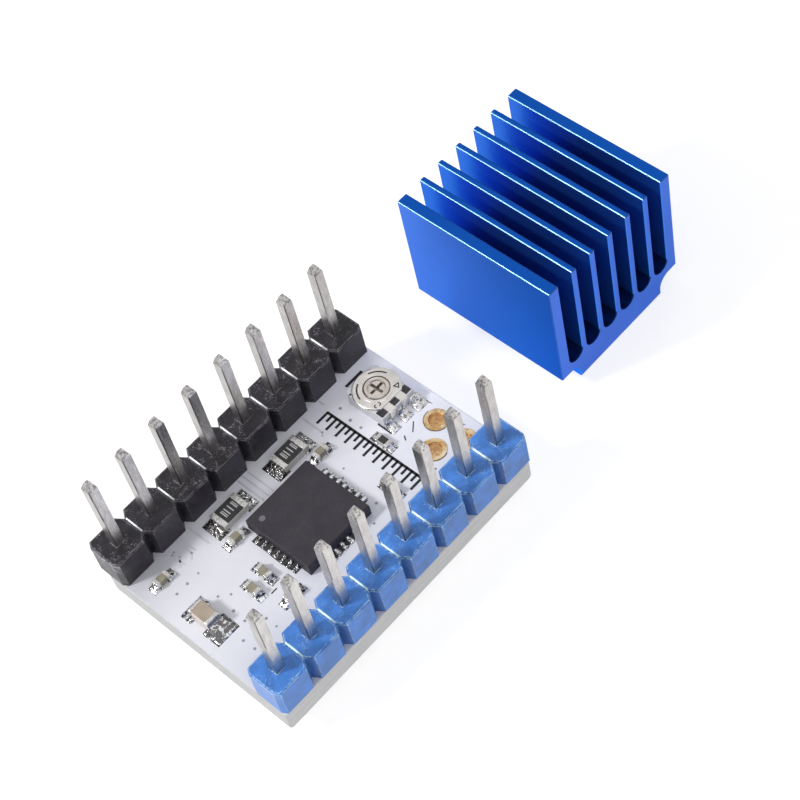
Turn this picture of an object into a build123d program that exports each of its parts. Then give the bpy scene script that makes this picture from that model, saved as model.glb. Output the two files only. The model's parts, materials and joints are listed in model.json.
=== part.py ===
from build123d import *
import os

# Stepper driver module: a small circuit board with two rows of header pins, its parts, and a loose
# finned heat sink that stands beside it. Millimetres, +Z up. The origin is the centre of the 2 x 8 pin
# grid at the level of the surface on which the pin tails and the heat sink stand. +X runs along the
# rows, +Y from the blue row to the black row.

# ---- driving dimensions -------------------------------------------------------------------------
PITCH = 2.54
PINS_PER_ROW = 8
ROW_SPAN = 12.70
BOARD_T = 1.60
TAIL_L = 1.40                  # pin length below the board
PIN_ABOVE = 8.45               # pin length above the board
PIN_SIDE = 0.64
TIP_L = 0.45
TIP_TAPER = 20
HOUSING_H = 2.30

SINK_W = 10.60                 # across the fins
SINK_L = 11.55                 # along the fins
SINK_H = 9.70
SINK_FINS = 7
SINK_AT = (21.20, 0.88)        # centre of the heat sink on the surface
TAPE_T = 0.20

# ---- values that follow from them ---------------------------------------------------------------
BOARD_L = PITCH * PINS_PER_ROW
BOARD_W = ROW_SPAN + PITCH
BOARD_BACK = TAIL_L
BOARD_TOP = TAIL_L + BOARD_T
PIN_X = [PITCH * (i - (PINS_PER_ROW - 1) / 2) for i in range(PINS_PER_ROW)]
ROWS = {"black": ROW_SPAN / 2, "blue": -ROW_SPAN / 2}

# ---- smaller dimensions, grouped by piece -------------------------------------------------------
CORNER_R = {(-1, 1): 1.30, (1, 1): 0.60, (1, -1): 0.60, (-1, -1): 0.20}
BOARD_CHAMFER = 0.05
PIN_HOLE_R = 0.50
PLATED_AT = [(7.20, -2.75), (8.80, -1.50), (8.75, -3.70)]
PLATED_R = 0.50
PLATING_T = 0.04
PLATED_RING_R = 0.76

NOTCH_CUT = (0.35, 0.51)       # corner cut between two header cells: along the row, across it
END_CUT = (0.22, 0.36)         # the same at the row's ends
CELL_EDGE = 0.08
GROOVE_W = 0.20
GROOVE_DEPTH = 0.07

SOLDER_R = 0.86
SOLDER_TIP_R = 0.48
SOLDER_NECK = (0.10, 0.60)     # where the concave side passes: beyond the tip radius, share of the height
SOLDER_H = 0.85

CHIP_AT = (-0.60, -0.24)
CHIP_SIDE = 5.00
CHIP_H = 0.90
CHIP_EDGE = 0.05
LEADS_PER_SIDE = 7
LEAD_PITCH = 0.50
LEAD_W = 0.24
LEAD_L = 0.55
LEAD_T = 0.20
CHIP_PAD_SIDE = 3.30
DIE_SIDE = 2.20
DIE_T = 0.28
DOT_R = 0.20
DOT_DEPTH = 0.03
DOT_INSET = 0.68

SENSE_AT = [(-3.10, 3.72), (1.80, 3.68)]
SENSE_SIZE = (2.00, 1.25, 0.55)
SENSE_END_L = 0.36
SENSE_WRAP_T = 0.04
SENSE_COAT_T = 0.05

BULK_AT = (-8.68, 0.05, 90)
BULK_SIZE = (1.60, 1.00, 0.90)
BULK_END_L = 0.24
BULK_ROUND = 0.08

SMALL_SIZE = (1.00, 0.50, 0.50)
SMALL_END_L = 0.24
SMALL_ROUND = 0.04
END_T = 0.03                   # thickness of the metal over the ends of a capacitor
SMALL_CAPS = [                 # x, y, turn about Z
    (-8.58, 3.75, 0),
    (-4.05, 2.30, 0),
    (3.00, 2.30, 0),
    (-5.80, -0.85, 90),
    (-4.65, -0.60, 90),
    (-4.70, -2.85, 0),
    (3.70, -2.65, 90),
]
SMALL_RESISTOR_AT = (5.80, -0.10, 90)
SMALL_RESISTOR_SIZE = (1.00, 0.50, 0.36)

TRIMMER_AT = (7.90, 2.20)
TRIM_HALF_W = 1.30
TRIM_FRONT = -1.68             # the side that faces the solder tabs, from the trimmer's axis
TRIM_BACK = 1.42
TRIM_H = 0.90
TRIM_CORNER_R = 0.30
TRIM_EDGE = 0.04
TRIM_POCKET_R = 1.02
TRIM_POCKET_FLOOR = 0.30
ELEMENT_T = 0.12
FILM_HALF_W = 1.25             # dark printed film along the front of the ceramic
FILM_Y = (-1.60, -1.04)
FILM_T = 0.02
COVER_R = 1.50
COVER_FRONT = -1.22            # flat cut across the cover
COVER_T = 0.18
COVER_ROUND = 0.11
COVER_HOLE_R = 0.84
COVER_LIP_R = 0.98
COVER_LIP_H = 0.04
ARC_SLOT_R = 1.17
ARC_SLOT_W = 0.10
ARC_SLOT_CENTRES = (40, 140)
ARC_SLOT_SPAN = 52
TONGUE_X = 0.50                # two tongues of the cover, folded down over the front
TONGUE_W = 0.50
TONGUE_T = 0.10
TONGUE_END = 0.40
TONGUE_INSET = 0.10
TAB_X = (-1.00, 0.05, 1.10)
TAB_W = 0.46
TAB_L = 0.40
TAB_T = 0.10
TAB_RISE = 0.36
ROTOR_R = 0.78
ROTOR_TOP = 1.17
ROTOR_EDGE = 0.05
ROTOR_FLANGE_R = 0.98
ROTOR_FLANGE = (0.55, 0.84)
ROTOR_DISH_R = 0.56
ROTOR_DISH_DEPTH = 0.10
ROTOR_DISH_SLOPE = 0.06
CROSS_L = 0.96
CROSS_W = 0.20
CROSS_DEPTH = 0.25
WIPER_L = 1.60
WIPER_W = 0.30
WIPER_GAP = 0.03

SINK_OUTER_T = 0.79
SINK_FIN_T = 0.41
SINK_WING_Z = 1.28             # underside of the wings, above the foot
SINK_FLOOR_T = 0.67            # metal between the wings' underside and the slots
SINK_FOOT_W = 7.50
SINK_FOOT_R = 0.86
SINK_TIP_R = 0.10
SINK_EDGE = 0.05
TAPE_INSET = 0.30

LIFT = (Align.CENTER, Align.CENTER, Align.MIN)


def write(piece, label):
    """Label a finished piece and write its STEP file."""
    piece.part.label = label
    export_step(piece.part, f"parts/{label}.step")


def on_board(x, y, turn=0, height=0.0):
    """A place on the component side of the board."""
    return Location((x, y, BOARD_TOP + height), (0, 0, turn))


# ---- board and plated holes ---------------------------------------------------------------------
def make_board():
    with BuildPart() as pcb:
        with BuildSketch(Plane.XY.offset(BOARD_BACK)):
            Rectangle(BOARD_L, BOARD_W)
            for (side_x, side_y), radius in CORNER_R.items():
                corner = (side_x * BOARD_L / 2, side_y * BOARD_W / 2, 0)
                fillet(vertices().sort_by_distance(corner)[0], radius)
        extrude(amount=BOARD_T)
        for end in (0, -1):
            chamfer(faces().sort_by(Axis.Z)[end].outer_wire().edges(), BOARD_CHAMFER)
        with BuildSketch(Plane.XY.offset(BOARD_BACK)):
            with GridLocations(PITCH, ROW_SPAN, PINS_PER_ROW, 2):
                Circle(PIN_HOLE_R)
            with Locations(*PLATED_AT):
                Circle(PLATED_R)
        extrude(amount=BOARD_T, mode=Mode.SUBTRACT)
    write(pcb, "pcb")


def make_plated_holes():
    """A gold ring round each end of the three through holes."""
    with BuildPart() as rings:
        for z in (BOARD_BACK - PLATING_T, BOARD_TOP):
            with BuildSketch(Plane.XY.offset(z)):
                with Locations(*PLATED_AT):
                    Circle(PLATED_RING_R)
                    Circle(PLATED_R, mode=Mode.SUBTRACT)
            extrude(amount=PLATING_T)
    write(rings, "plated_holes")


# ---- headers ------------------------------------------------------------------------------------
def cell_corners(x, y, left_cut, right_cut):
    """Corners of the eight-sided outline of the header cell round the pin at x, y."""
    half = PITCH / 2
    corners = []
    for side, (cut_x, cut_y) in ((1, right_cut), (-1, left_cut)):
        upper = [(side * (half - cut_x), half), (side * half, half - cut_y)]
        lower = [(dx, -dy) for dx, dy in reversed(upper)]
        edge = upper + lower
        corners += edge if side > 0 else reversed(edge)
    return [(x + dx, y + dy) for dx, dy in corners]


def make_housing(colour, y):
    top = BOARD_TOP + HOUSING_H
    with BuildPart() as housing:
        with BuildSketch(Plane.XY.offset(BOARD_TOP)):
            for x in PIN_X:
                left_cut = END_CUT if x == PIN_X[0] else NOTCH_CUT
                right_cut = END_CUT if x == PIN_X[-1] else NOTCH_CUT
                with BuildLine():
                    Polyline(*cell_corners(x, y, left_cut, right_cut), close=True)
                make_face()
        extrude(amount=HOUSING_H)
        chamfer(faces().sort_by(Axis.Z)[-1].outer_wire().edges(), CELL_EDGE)
        with BuildSketch(Plane.XZ.offset(-y)):
            for left, right in zip(PIN_X, PIN_X[1:]):
                middle = (left + right) / 2
                with BuildLine():
                    Polyline(
                        (middle - GROOVE_W / 2, top),
                        (middle + GROOVE_W / 2, top),
                        (middle, top - GROOVE_DEPTH),
                        close=True,
                    )
                make_face()
        extrude(amount=PITCH, both=True, mode=Mode.SUBTRACT)
        with BuildSketch(Plane.XY.offset(BOARD_TOP)):
            with Locations(*[(x, y) for x in PIN_X]):
                Rectangle(PIN_SIDE, PIN_SIDE)
        extrude(amount=HOUSING_H, mode=Mode.SUBTRACT)
    write(housing, f"{colour}_header_housing")


def make_pin(label, x, y):
    with BuildPart() as pin:
        with BuildSketch(Plane.XY.offset(TIP_L)):
            with Locations((x, y)):
                Rectangle(PIN_SIDE, PIN_SIDE)
        extrude(amount=BOARD_TOP + PIN_ABOVE - 2 * TIP_L)
        extrude(faces().sort_by(Axis.Z)[-1], amount=TIP_L, taper=TIP_TAPER)
        extrude(faces().sort_by(Axis.Z)[0], amount=TIP_L, taper=TIP_TAPER)
    write(pin, label)


def make_solder_joints(colour, y):
    """One solder joint per pin: it fills the hole and wets up the tail as a concave cone."""
    low = BOARD_BACK - SOLDER_H
    with BuildPart() as joints:
        for x in PIN_X:
            with BuildSketch(Plane.XZ.offset(-y)):
                with BuildLine():
                    Line((x, low), (x + SOLDER_TIP_R, low))
                    ThreePointArc(
                        (x + SOLDER_TIP_R, low),
                        (x + SOLDER_TIP_R + SOLDER_NECK[0], low + SOLDER_NECK[1] * SOLDER_H),
                        (x + SOLDER_R, BOARD_BACK),
                    )
                    Polyline(
                        (x + SOLDER_R, BOARD_BACK),
                        (x + PIN_HOLE_R, BOARD_BACK),
                        (x + PIN_HOLE_R, BOARD_TOP),
                        (x, BOARD_TOP),
                        (x, low),
                    )
                make_face()
            revolve(axis=Axis((x, y, 0), (0, 0, 1)))
        with BuildSketch(Plane.XY.offset(low)):
            with Locations(*[(x, y) for x in PIN_X]):
                Rectangle(PIN_SIDE, PIN_SIDE)
        extrude(amount=SOLDER_H + BOARD_T, mode=Mode.SUBTRACT)
    write(joints, f"{colour}_solder_joints")


# ---- driver chip --------------------------------------------------------------------------------
def lead_places():
    """The 28 leads: seven along each side of the package, flush with its underside."""
    places = []
    for quarter in range(4):
        side = on_board(*CHIP_AT, 90 * quarter)
        for i in range(LEADS_PER_SIDE):
            along = LEAD_PITCH * (i - (LEADS_PER_SIDE - 1) / 2)
            places.append(side * Location(((CHIP_SIDE - LEAD_L) / 2, along, 0)))
    return places


def make_chip():
    with BuildPart() as leads:
        with Locations(*lead_places()):
            Box(LEAD_L, LEAD_W, LEAD_T, align=LIFT)
    write(leads, "driver_chip_leads")

    with BuildPart() as pad:
        with Locations(on_board(*CHIP_AT)):
            Box(CHIP_PAD_SIDE, CHIP_PAD_SIDE, LEAD_T, align=LIFT)
    write(pad, "driver_chip_pad")

    with BuildPart() as die:
        with Locations(on_board(*CHIP_AT, height=LEAD_T)):
            Box(DIE_SIDE, DIE_SIDE, DIE_T, align=LIFT)
    write(die, "driver_chip_die")

    dot_at = CHIP_SIDE / 2 - DOT_INSET
    with BuildPart() as body:
        with Locations(on_board(*CHIP_AT)):
            Box(CHIP_SIDE, CHIP_SIDE, CHIP_H, align=LIFT)
        chamfer(faces().sort_by(Axis.Z)[-1].edges(), CHIP_EDGE)
        with Locations(on_board(CHIP_AT[0] - dot_at, CHIP_AT[1] + dot_at, height=CHIP_H)):
            Cylinder(DOT_R, 2 * DOT_DEPTH, mode=Mode.SUBTRACT)
        with Locations(*lead_places()):
            Box(LEAD_L, LEAD_W, LEAD_T, align=LIFT, mode=Mode.SUBTRACT)
        with Locations(on_board(*CHIP_AT)):
            Box(CHIP_PAD_SIDE, CHIP_PAD_SIDE, LEAD_T, align=LIFT, mode=Mode.SUBTRACT)
        with Locations(on_board(*CHIP_AT, height=LEAD_T)):
            Box(DIE_SIDE, DIE_SIDE, DIE_T, align=LIFT, mode=Mode.SUBTRACT)
    write(body, "driver_chip_body")


# ---- chip resistors and capacitors --------------------------------------------------------------
def make_resistor(label, place, size, end_l, coat_t):
    """A ceramic slab, a dark coat on its middle, and a metal clip round each end."""
    length, width, height = size
    slab = (length - 2 * SENSE_WRAP_T, width, height - 2 * SENSE_WRAP_T)
    slab_place = place * Location((0, 0, SENSE_WRAP_T))
    coat_l = length - 2 * end_l

    with BuildPart() as body:
        with Locations(slab_place):
            Box(*slab, align=LIFT)
    write(body, f"{label}_body")

    with BuildPart() as coat:
        with Locations(place * Location((0, 0, height - SENSE_WRAP_T))):
            Box(coat_l, width - 2 * SENSE_WRAP_T, coat_t, align=LIFT)
        chamfer(faces().sort_by(Axis.Z)[-1].edges(), coat_t / 3)
    write(coat, f"{label}_coat")

    with BuildPart() as ends:
        for side in (-1, 1):
            with Locations(place * Location((side * (length - end_l) / 2, 0, 0))):
                Box(end_l, width, height, align=LIFT)
        fillet(edges().filter_by(lambda e: abs(e.center().Z - BOARD_TOP - height) < 1e-6), SENSE_WRAP_T / 2)
        with Locations(slab_place):
            Box(*slab, align=LIFT, mode=Mode.SUBTRACT)
    write(ends, f"{label}_terminals")


def make_capacitor(label, place, size, end_l, rounding):
    """A ceramic block with a metal cup over each end."""
    length, width, height = size
    block = (length - 2 * END_T, width - 2 * END_T, height - 2 * END_T)
    block_place = place * Location((0, 0, END_T))

    with BuildPart() as body:
        with Locations(block_place):
            Box(*block, align=LIFT)
        fillet(edges(), rounding / 2)
    write(body, f"{label}_body")

    with BuildPart() as ends:
        with Locations(place):
            Box(*size, align=LIFT)
        fillet(edges(), rounding)
        with Locations(place):
            Box(length - 2 * end_l, width, height, align=LIFT, mode=Mode.SUBTRACT)
        add(body.part, mode=Mode.SUBTRACT)
    write(ends, f"{label}_terminals")


# ---- trimmer ------------------------------------------------------------------------------------
def trimmer_place(x=0.0, y=0.0, z=0.0):
    return on_board(TRIMMER_AT[0] + x, TRIMMER_AT[1] + y, height=z)


def make_trimmer_base():
    """Ceramic block with a round pocket, the resistive disc in it, and a dark film along its front."""
    depth = TRIM_BACK - TRIM_FRONT
    middle = (TRIM_BACK + TRIM_FRONT) / 2
    film_depth = FILM_Y[1] - FILM_Y[0]
    film_place = trimmer_place(y=sum(FILM_Y) / 2, z=TRIM_H - FILM_T)
    with BuildPart() as base:
        with Locations(trimmer_place(y=middle)):
            Box(2 * TRIM_HALF_W, depth, TRIM_H, align=LIFT)
        fillet(edges().filter_by(Axis.Z).group_by(Axis.Y)[-1], TRIM_CORNER_R)
        chamfer(faces().sort_by(Axis.Z)[-1].outer_wire().edges(), TRIM_EDGE)
        with Locations(trimmer_place(z=TRIM_POCKET_FLOOR)):
            Cylinder(TRIM_POCKET_R, TRIM_H, align=LIFT, mode=Mode.SUBTRACT)
        with Locations(film_place):
            Box(2 * FILM_HALF_W, film_depth, 2 * FILM_T, align=LIFT, mode=Mode.SUBTRACT)
    write(base, "trimmer_base")

    with BuildPart() as film:
        with Locations(film_place):
            Box(2 * FILM_HALF_W, film_depth, FILM_T, align=LIFT)
    write(film, "trimmer_film")

    with BuildPart() as element:
        with Locations(trimmer_place(z=TRIM_POCKET_FLOOR)):
            Cylinder(TRIM_POCKET_R, ELEMENT_T, align=LIFT)
    write(element, "trimmer_element")


def make_trimmer_cover():
    """Round plate, cut flat across the front, with a raised lip round its hole and two folded tongues."""
    front_cut = 2 * COVER_R
    with BuildPart() as cover:
        with Locations(trimmer_place(z=TRIM_H)):
            Cylinder(COVER_R, COVER_T, align=LIFT)
        with Locations(trimmer_place(y=COVER_FRONT - front_cut / 2, z=TRIM_H)):
            Box(front_cut, front_cut, COVER_T, align=LIFT, mode=Mode.SUBTRACT)
        fillet(faces().sort_by(Axis.Z)[-1].edges(), COVER_ROUND)
        with Locations(trimmer_place(z=TRIM_H)):
            Cylinder(COVER_LIP_R, COVER_T + COVER_LIP_H, align=LIFT)
        fold_y = TRIM_FRONT - TONGUE_T
        flat_l = COVER_FRONT + TONGUE_INSET - fold_y
        for side in (-1, 1):
            with Locations(trimmer_place(side * TONGUE_X, fold_y + flat_l / 2, TRIM_H)):
                Box(TONGUE_W, flat_l, TONGUE_T, align=LIFT)
            with Locations(trimmer_place(side * TONGUE_X, fold_y + TONGUE_T / 2, TONGUE_END)):
                Box(TONGUE_W, TONGUE_T, TRIM_H + TONGUE_T - TONGUE_END, align=LIFT)
        with Locations(trimmer_place(z=TRIM_H)):
            Cylinder(COVER_HOLE_R, 2 * COVER_T, align=LIFT, mode=Mode.SUBTRACT)
        with BuildSketch(Plane.XY.offset(BOARD_TOP + TRIM_H)):
            with Locations(TRIMMER_AT):
                for centre in ARC_SLOT_CENTRES:
                    arc = CenterArc((0, 0), ARC_SLOT_R, centre - ARC_SLOT_SPAN / 2, ARC_SLOT_SPAN,
                                    mode=Mode.PRIVATE)
                    SlotArc(arc, ARC_SLOT_W)
        extrude(amount=COVER_T, mode=Mode.SUBTRACT)
    write(cover, "trimmer_cover")


def make_trimmer_tabs():
    with BuildPart() as tabs:
        for x in TAB_X:
            with Locations(trimmer_place(x, TRIM_FRONT - TAB_L / 2)):
                Box(TAB_W, TAB_L, TAB_T, align=LIFT)
            with Locations(trimmer_place(x, TRIM_FRONT - TAB_T / 2)):
                Box(TAB_W, TAB_T, TAB_RISE, align=LIFT)
    write(tabs, "trimmer_terminals")


def make_trimmer_rotor():
    flange_low, flange_high = ROTOR_FLANGE
    with BuildPart() as rotor:
        with Locations(trimmer_place(z=flange_low)):
            Cylinder(ROTOR_R, ROTOR_TOP - flange_low, align=LIFT)
        chamfer(faces().sort_by(Axis.Z)[-1].edges(), ROTOR_EDGE)
        with Locations(trimmer_place(z=flange_low)):
            Cylinder(ROTOR_FLANGE_R, flange_high - flange_low, align=LIFT)
        dish_floor = ROTOR_TOP - ROTOR_DISH_DEPTH
        with Locations(trimmer_place(z=dish_floor)):
            Cone(ROTOR_DISH_R - ROTOR_DISH_SLOPE, ROTOR_DISH_R, ROTOR_DISH_DEPTH, align=LIFT,
                 mode=Mode.SUBTRACT)
        with Locations(trimmer_place(z=dish_floor - CROSS_DEPTH)):
            Box(CROSS_L, CROSS_W, CROSS_DEPTH, align=LIFT, mode=Mode.SUBTRACT)
            Box(CROSS_W, CROSS_L, CROSS_DEPTH, align=LIFT, mode=Mode.SUBTRACT)
    write(rotor, "trimmer_rotor")

    wiper_low = TRIM_POCKET_FLOOR + ELEMENT_T + WIPER_GAP
    with BuildPart() as wiper:
        with Locations(trimmer_place(z=wiper_low)):
            Box(WIPER_L, WIPER_W, flange_low - wiper_low, align=LIFT)
    write(wiper, "trimmer_wiper")


# ---- heat sink ----------------------------------------------------------------------------------
def make_heat_sink():
    """Extruded profile: seven fins on a floor, two short wings, and a narrower foot."""
    centre_x, centre_y = SINK_AT
    gap = (SINK_W - 2 * SINK_OUTER_T - (SINK_FINS - 2) * SINK_FIN_T) / (SINK_FINS - 1)
    wing = TAPE_T + SINK_WING_Z
    top = TAPE_T + SINK_H
    slot_low = wing + SINK_FLOOR_T
    notch_w = (SINK_W - SINK_FOOT_W) / 2
    with BuildPart() as sink:
        with BuildSketch(Plane.XZ.offset(-centre_y)):
            with Locations((centre_x, (TAPE_T + top) / 2)):
                Rectangle(SINK_W, SINK_H)
            for side in (-1, 1):
                with Locations((centre_x + side * (SINK_W - notch_w) / 2, (TAPE_T + wing) / 2)):
                    Rectangle(notch_w, SINK_WING_Z, mode=Mode.SUBTRACT)
            inner = vertices().filter_by(lambda v: abs(v.Y - wing) < 1e-6).sort_by(Axis.X)
            fillet(inner[1:-1], SINK_FOOT_R)
            for i in range(SINK_FINS - 1):
                slot_x = centre_x - SINK_W / 2 + SINK_OUTER_T + gap / 2 + i * (gap + SINK_FIN_T)
                with Locations((slot_x, (slot_low + gap / 2 + top) / 2)):
                    Rectangle(gap, top - slot_low - gap / 2, mode=Mode.SUBTRACT)
                with Locations((slot_x, slot_low + gap / 2)):
                    Circle(gap / 2, mode=Mode.SUBTRACT)
            fillet(vertices().filter_by(lambda v: abs(v.Y - top) < 1e-6), SINK_TIP_R)
        extrude(amount=SINK_L / 2, both=True)
        for end in (0, -1):
            chamfer(faces().sort_by(Axis.Y)[end].outer_wire().edges(), SINK_EDGE)
    write(sink, "heat_sink")

    with BuildPart() as tape:
        with Locations((centre_x, centre_y, 0)):
            Box(SINK_FOOT_W - 2 * TAPE_INSET, SINK_L - 2 * TAPE_INSET, TAPE_T, align=LIFT)
    write(tape, "heat_sink_tape")


def main():
    os.makedirs("parts", exist_ok=True)
    make_board()
    make_plated_holes()
    for colour, y in ROWS.items():
        make_housing(colour, y)
        make_solder_joints(colour, y)
        for number, x in enumerate(PIN_X, start=1):
            make_pin(f"{colour}_pin_{number}", x, y)
    make_chip()
    for number, (x, y) in enumerate(SENSE_AT, start=1):
        make_resistor(f"sense_resistor_{number}", on_board(x, y), SENSE_SIZE, SENSE_END_L, SENSE_COAT_T)
    make_resistor("small_resistor", on_board(*SMALL_RESISTOR_AT), SMALL_RESISTOR_SIZE, SMALL_END_L,
                  SENSE_COAT_T)
    make_capacitor("bulk_capacitor", on_board(*BULK_AT), BULK_SIZE, BULK_END_L, BULK_ROUND)
    for number, spot in enumerate(SMALL_CAPS, start=1):
        make_capacitor(f"capacitor_{number}", on_board(*spot), SMALL_SIZE, SMALL_END_L, SMALL_ROUND)
    make_trimmer_base()
    make_trimmer_cover()
    make_trimmer_tabs()
    make_trimmer_rotor()
    make_heat_sink()


main()
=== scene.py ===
import json
import math

import bmesh
import bpy
from mathutils import Matrix, Vector, noise


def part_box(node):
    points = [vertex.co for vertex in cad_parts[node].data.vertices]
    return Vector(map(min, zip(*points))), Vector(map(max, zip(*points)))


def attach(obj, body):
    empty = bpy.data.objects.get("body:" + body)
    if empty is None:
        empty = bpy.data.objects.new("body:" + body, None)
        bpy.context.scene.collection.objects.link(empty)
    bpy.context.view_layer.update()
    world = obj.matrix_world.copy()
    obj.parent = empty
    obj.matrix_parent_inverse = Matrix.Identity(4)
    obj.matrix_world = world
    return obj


# Stepper driver module: board, chip, headers, trimmer and a loose finned heat sink. The scene is in metres,
# in the CAD's frame: +X along the pin rows towards the heat sink, +Y from the blue row to the black row and
# +Z up.
# Lengths in this file are millimetres unless a comment says otherwise.

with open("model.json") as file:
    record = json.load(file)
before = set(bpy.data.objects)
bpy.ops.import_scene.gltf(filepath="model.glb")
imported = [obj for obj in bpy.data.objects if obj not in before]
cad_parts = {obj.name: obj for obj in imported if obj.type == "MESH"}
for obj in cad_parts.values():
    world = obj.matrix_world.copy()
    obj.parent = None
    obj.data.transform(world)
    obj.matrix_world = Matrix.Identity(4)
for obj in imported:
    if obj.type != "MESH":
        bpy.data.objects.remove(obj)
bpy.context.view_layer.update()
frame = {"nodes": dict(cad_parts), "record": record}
nodes = frame["nodes"]
MM = 0.001

# from the CAD: the board's two faces, the housings' top and their end at the first pins, the pins'
# spacing and how far each row is from the board's middle
board_low, board_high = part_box("pcb")
TOP = board_high.z / MM
BACK = board_low.z / MM
HEADER_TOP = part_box("black_header_housing")[1].z / MM
HEADER_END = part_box("black_header_housing")[0].x / MM
PITCH = (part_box("black_pin_2")[0].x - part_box("black_pin_1")[0].x) / MM
ROW_Y = (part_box("black_pin_1")[0].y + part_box("black_pin_1")[1].y) / 2 / MM


# ---- materials ----------------------------------------------------------------------------------
class Look:
    """Builds the node tree of one Principled material. Sizes are in millimetres."""

    def __init__(self, name, **fixed):
        self.material = bpy.data.materials.new(name)
        self.material.use_nodes = True
        self.tree = self.material.node_tree
        self.shader = self.tree.nodes["Principled BSDF"]
        for key, value in fixed.items():
            self.shader.inputs[key.replace("_", " ")].default_value = value
        self.place = self.add("ShaderNodeTexCoord").outputs["Object"]

    def add(self, kind, **props):
        node = self.tree.nodes.new(kind)
        for key, value in props.items():
            setattr(node, key, value)
        return node

    def feed(self, socket, value):
        if isinstance(value, bpy.types.NodeSocket):
            self.tree.links.new(value, socket)
        elif isinstance(value, (tuple, list)) and socket.type == "RGBA":
            socket.default_value = (*value, 1.0)
        else:
            socket.default_value = value

    def stretched(self, stretch):
        """Object coordinates in millimetres, squeezed so that the pattern is longer along an axis."""
        node = self.add("ShaderNodeMapping")
        self.feed(node.inputs["Vector"], self.place)
        node.inputs["Scale"].default_value = [1 / MM / s for s in stretch]
        return node.outputs["Vector"]

    def noise(self, size, detail=2.0, rough=0.5, stretch=(1, 1, 1), twist=0.0):
        node = self.add("ShaderNodeTexNoise")
        self.feed(node.inputs["Vector"], self.stretched(stretch))
        fixed = {"Scale": 1 / size, "Detail": detail, "Roughness": rough, "Distortion": twist}
        for key, value in fixed.items():
            node.inputs[key].default_value = value
        return node.outputs["Fac"]

    def math(self, operation, a, b=0.0):
        node = self.add("ShaderNodeMath", operation=operation)
        self.feed(node.inputs[0], a)
        self.feed(node.inputs[1], b)
        return node.outputs[0]

    def span(self, value, low, high, out_low=0.0, out_high=1.0):
        """value from low..high to out_low..out_high, held at the ends."""
        node = self.add("ShaderNodeMapRange")
        limits = {"Value": value, "From Min": low, "From Max": high, "To Min": out_low, "To Max": out_high}
        for key, number in limits.items():
            self.feed(node.inputs[key], number)
        return node.outputs["Result"]

    def mix(self, share, a, b):
        """Colour a where share is 0, colour b where it is 1."""
        node = self.add("ShaderNodeMix", data_type="RGBA")
        colour_a, colour_b, colour_out = node.inputs[6], node.inputs[7], node.outputs[2]
        self.feed(node.inputs["Factor"], share)
        self.feed(colour_a, a)
        self.feed(colour_b, b)
        return colour_out

    def shade(self, colour, amount):
        """colour times amount, where amount may vary over the surface."""
        node = self.add("ShaderNodeVectorMath", operation="SCALE")
        self.feed(node.inputs[0], colour)
        self.feed(node.inputs["Scale"], amount)
        return node.outputs[0]

    def edges(self, radius, low=0.03, high=0.30):
        """1 near sharp edges, 0 on flats. low and high say how far the rounded normal turns away from the
        flat one, as one minus their cosine."""
        bevel = self.add("ShaderNodeBevel", samples=6)
        bevel.inputs["Radius"].default_value = radius * MM
        flat = self.add("ShaderNodeNewGeometry").outputs["Normal"]
        dot = self.add("ShaderNodeVectorMath", operation="DOT_PRODUCT")
        self.feed(dot.inputs[0], bevel.outputs["Normal"])
        self.feed(dot.inputs[1], flat)
        return self.span(self.math("SUBTRACT", 1.0, dot.outputs["Value"]), low, high)

    def normal_part(self, axis):
        """One part (0, 1 or 2) of the surface's normal in the object's own frame."""
        split = self.add("ShaderNodeSeparateXYZ")
        self.feed(split.inputs[0], self.add("ShaderNodeTexCoord").outputs["Normal"])
        return split.outputs[axis]

    def position_part(self, axis):
        """One part (0, 1 or 2) of the point's place in the object's own frame, in millimetres."""
        split = self.add("ShaderNodeSeparateXYZ")
        self.feed(split.inputs[0], self.stretched((1, 1, 1)))
        return split.outputs[axis]

    def bump(self, height, depth, strength=1.0, under=None):
        node = self.add("ShaderNodeBump")
        node.inputs["Strength"].default_value = strength
        node.inputs["Distance"].default_value = depth * MM
        self.feed(node.inputs["Height"], height)
        if under is not None:
            self.feed(node.inputs["Normal"], under)
        return node.outputs["Normal"]

    def done(self, colour, roughness, normal=None):
        for key, value in (("Base Color", colour), ("Roughness", roughness), ("Normal", normal)):
            if value is not None:
                self.feed(self.shader.inputs[key], value)
        return self.material


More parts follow.
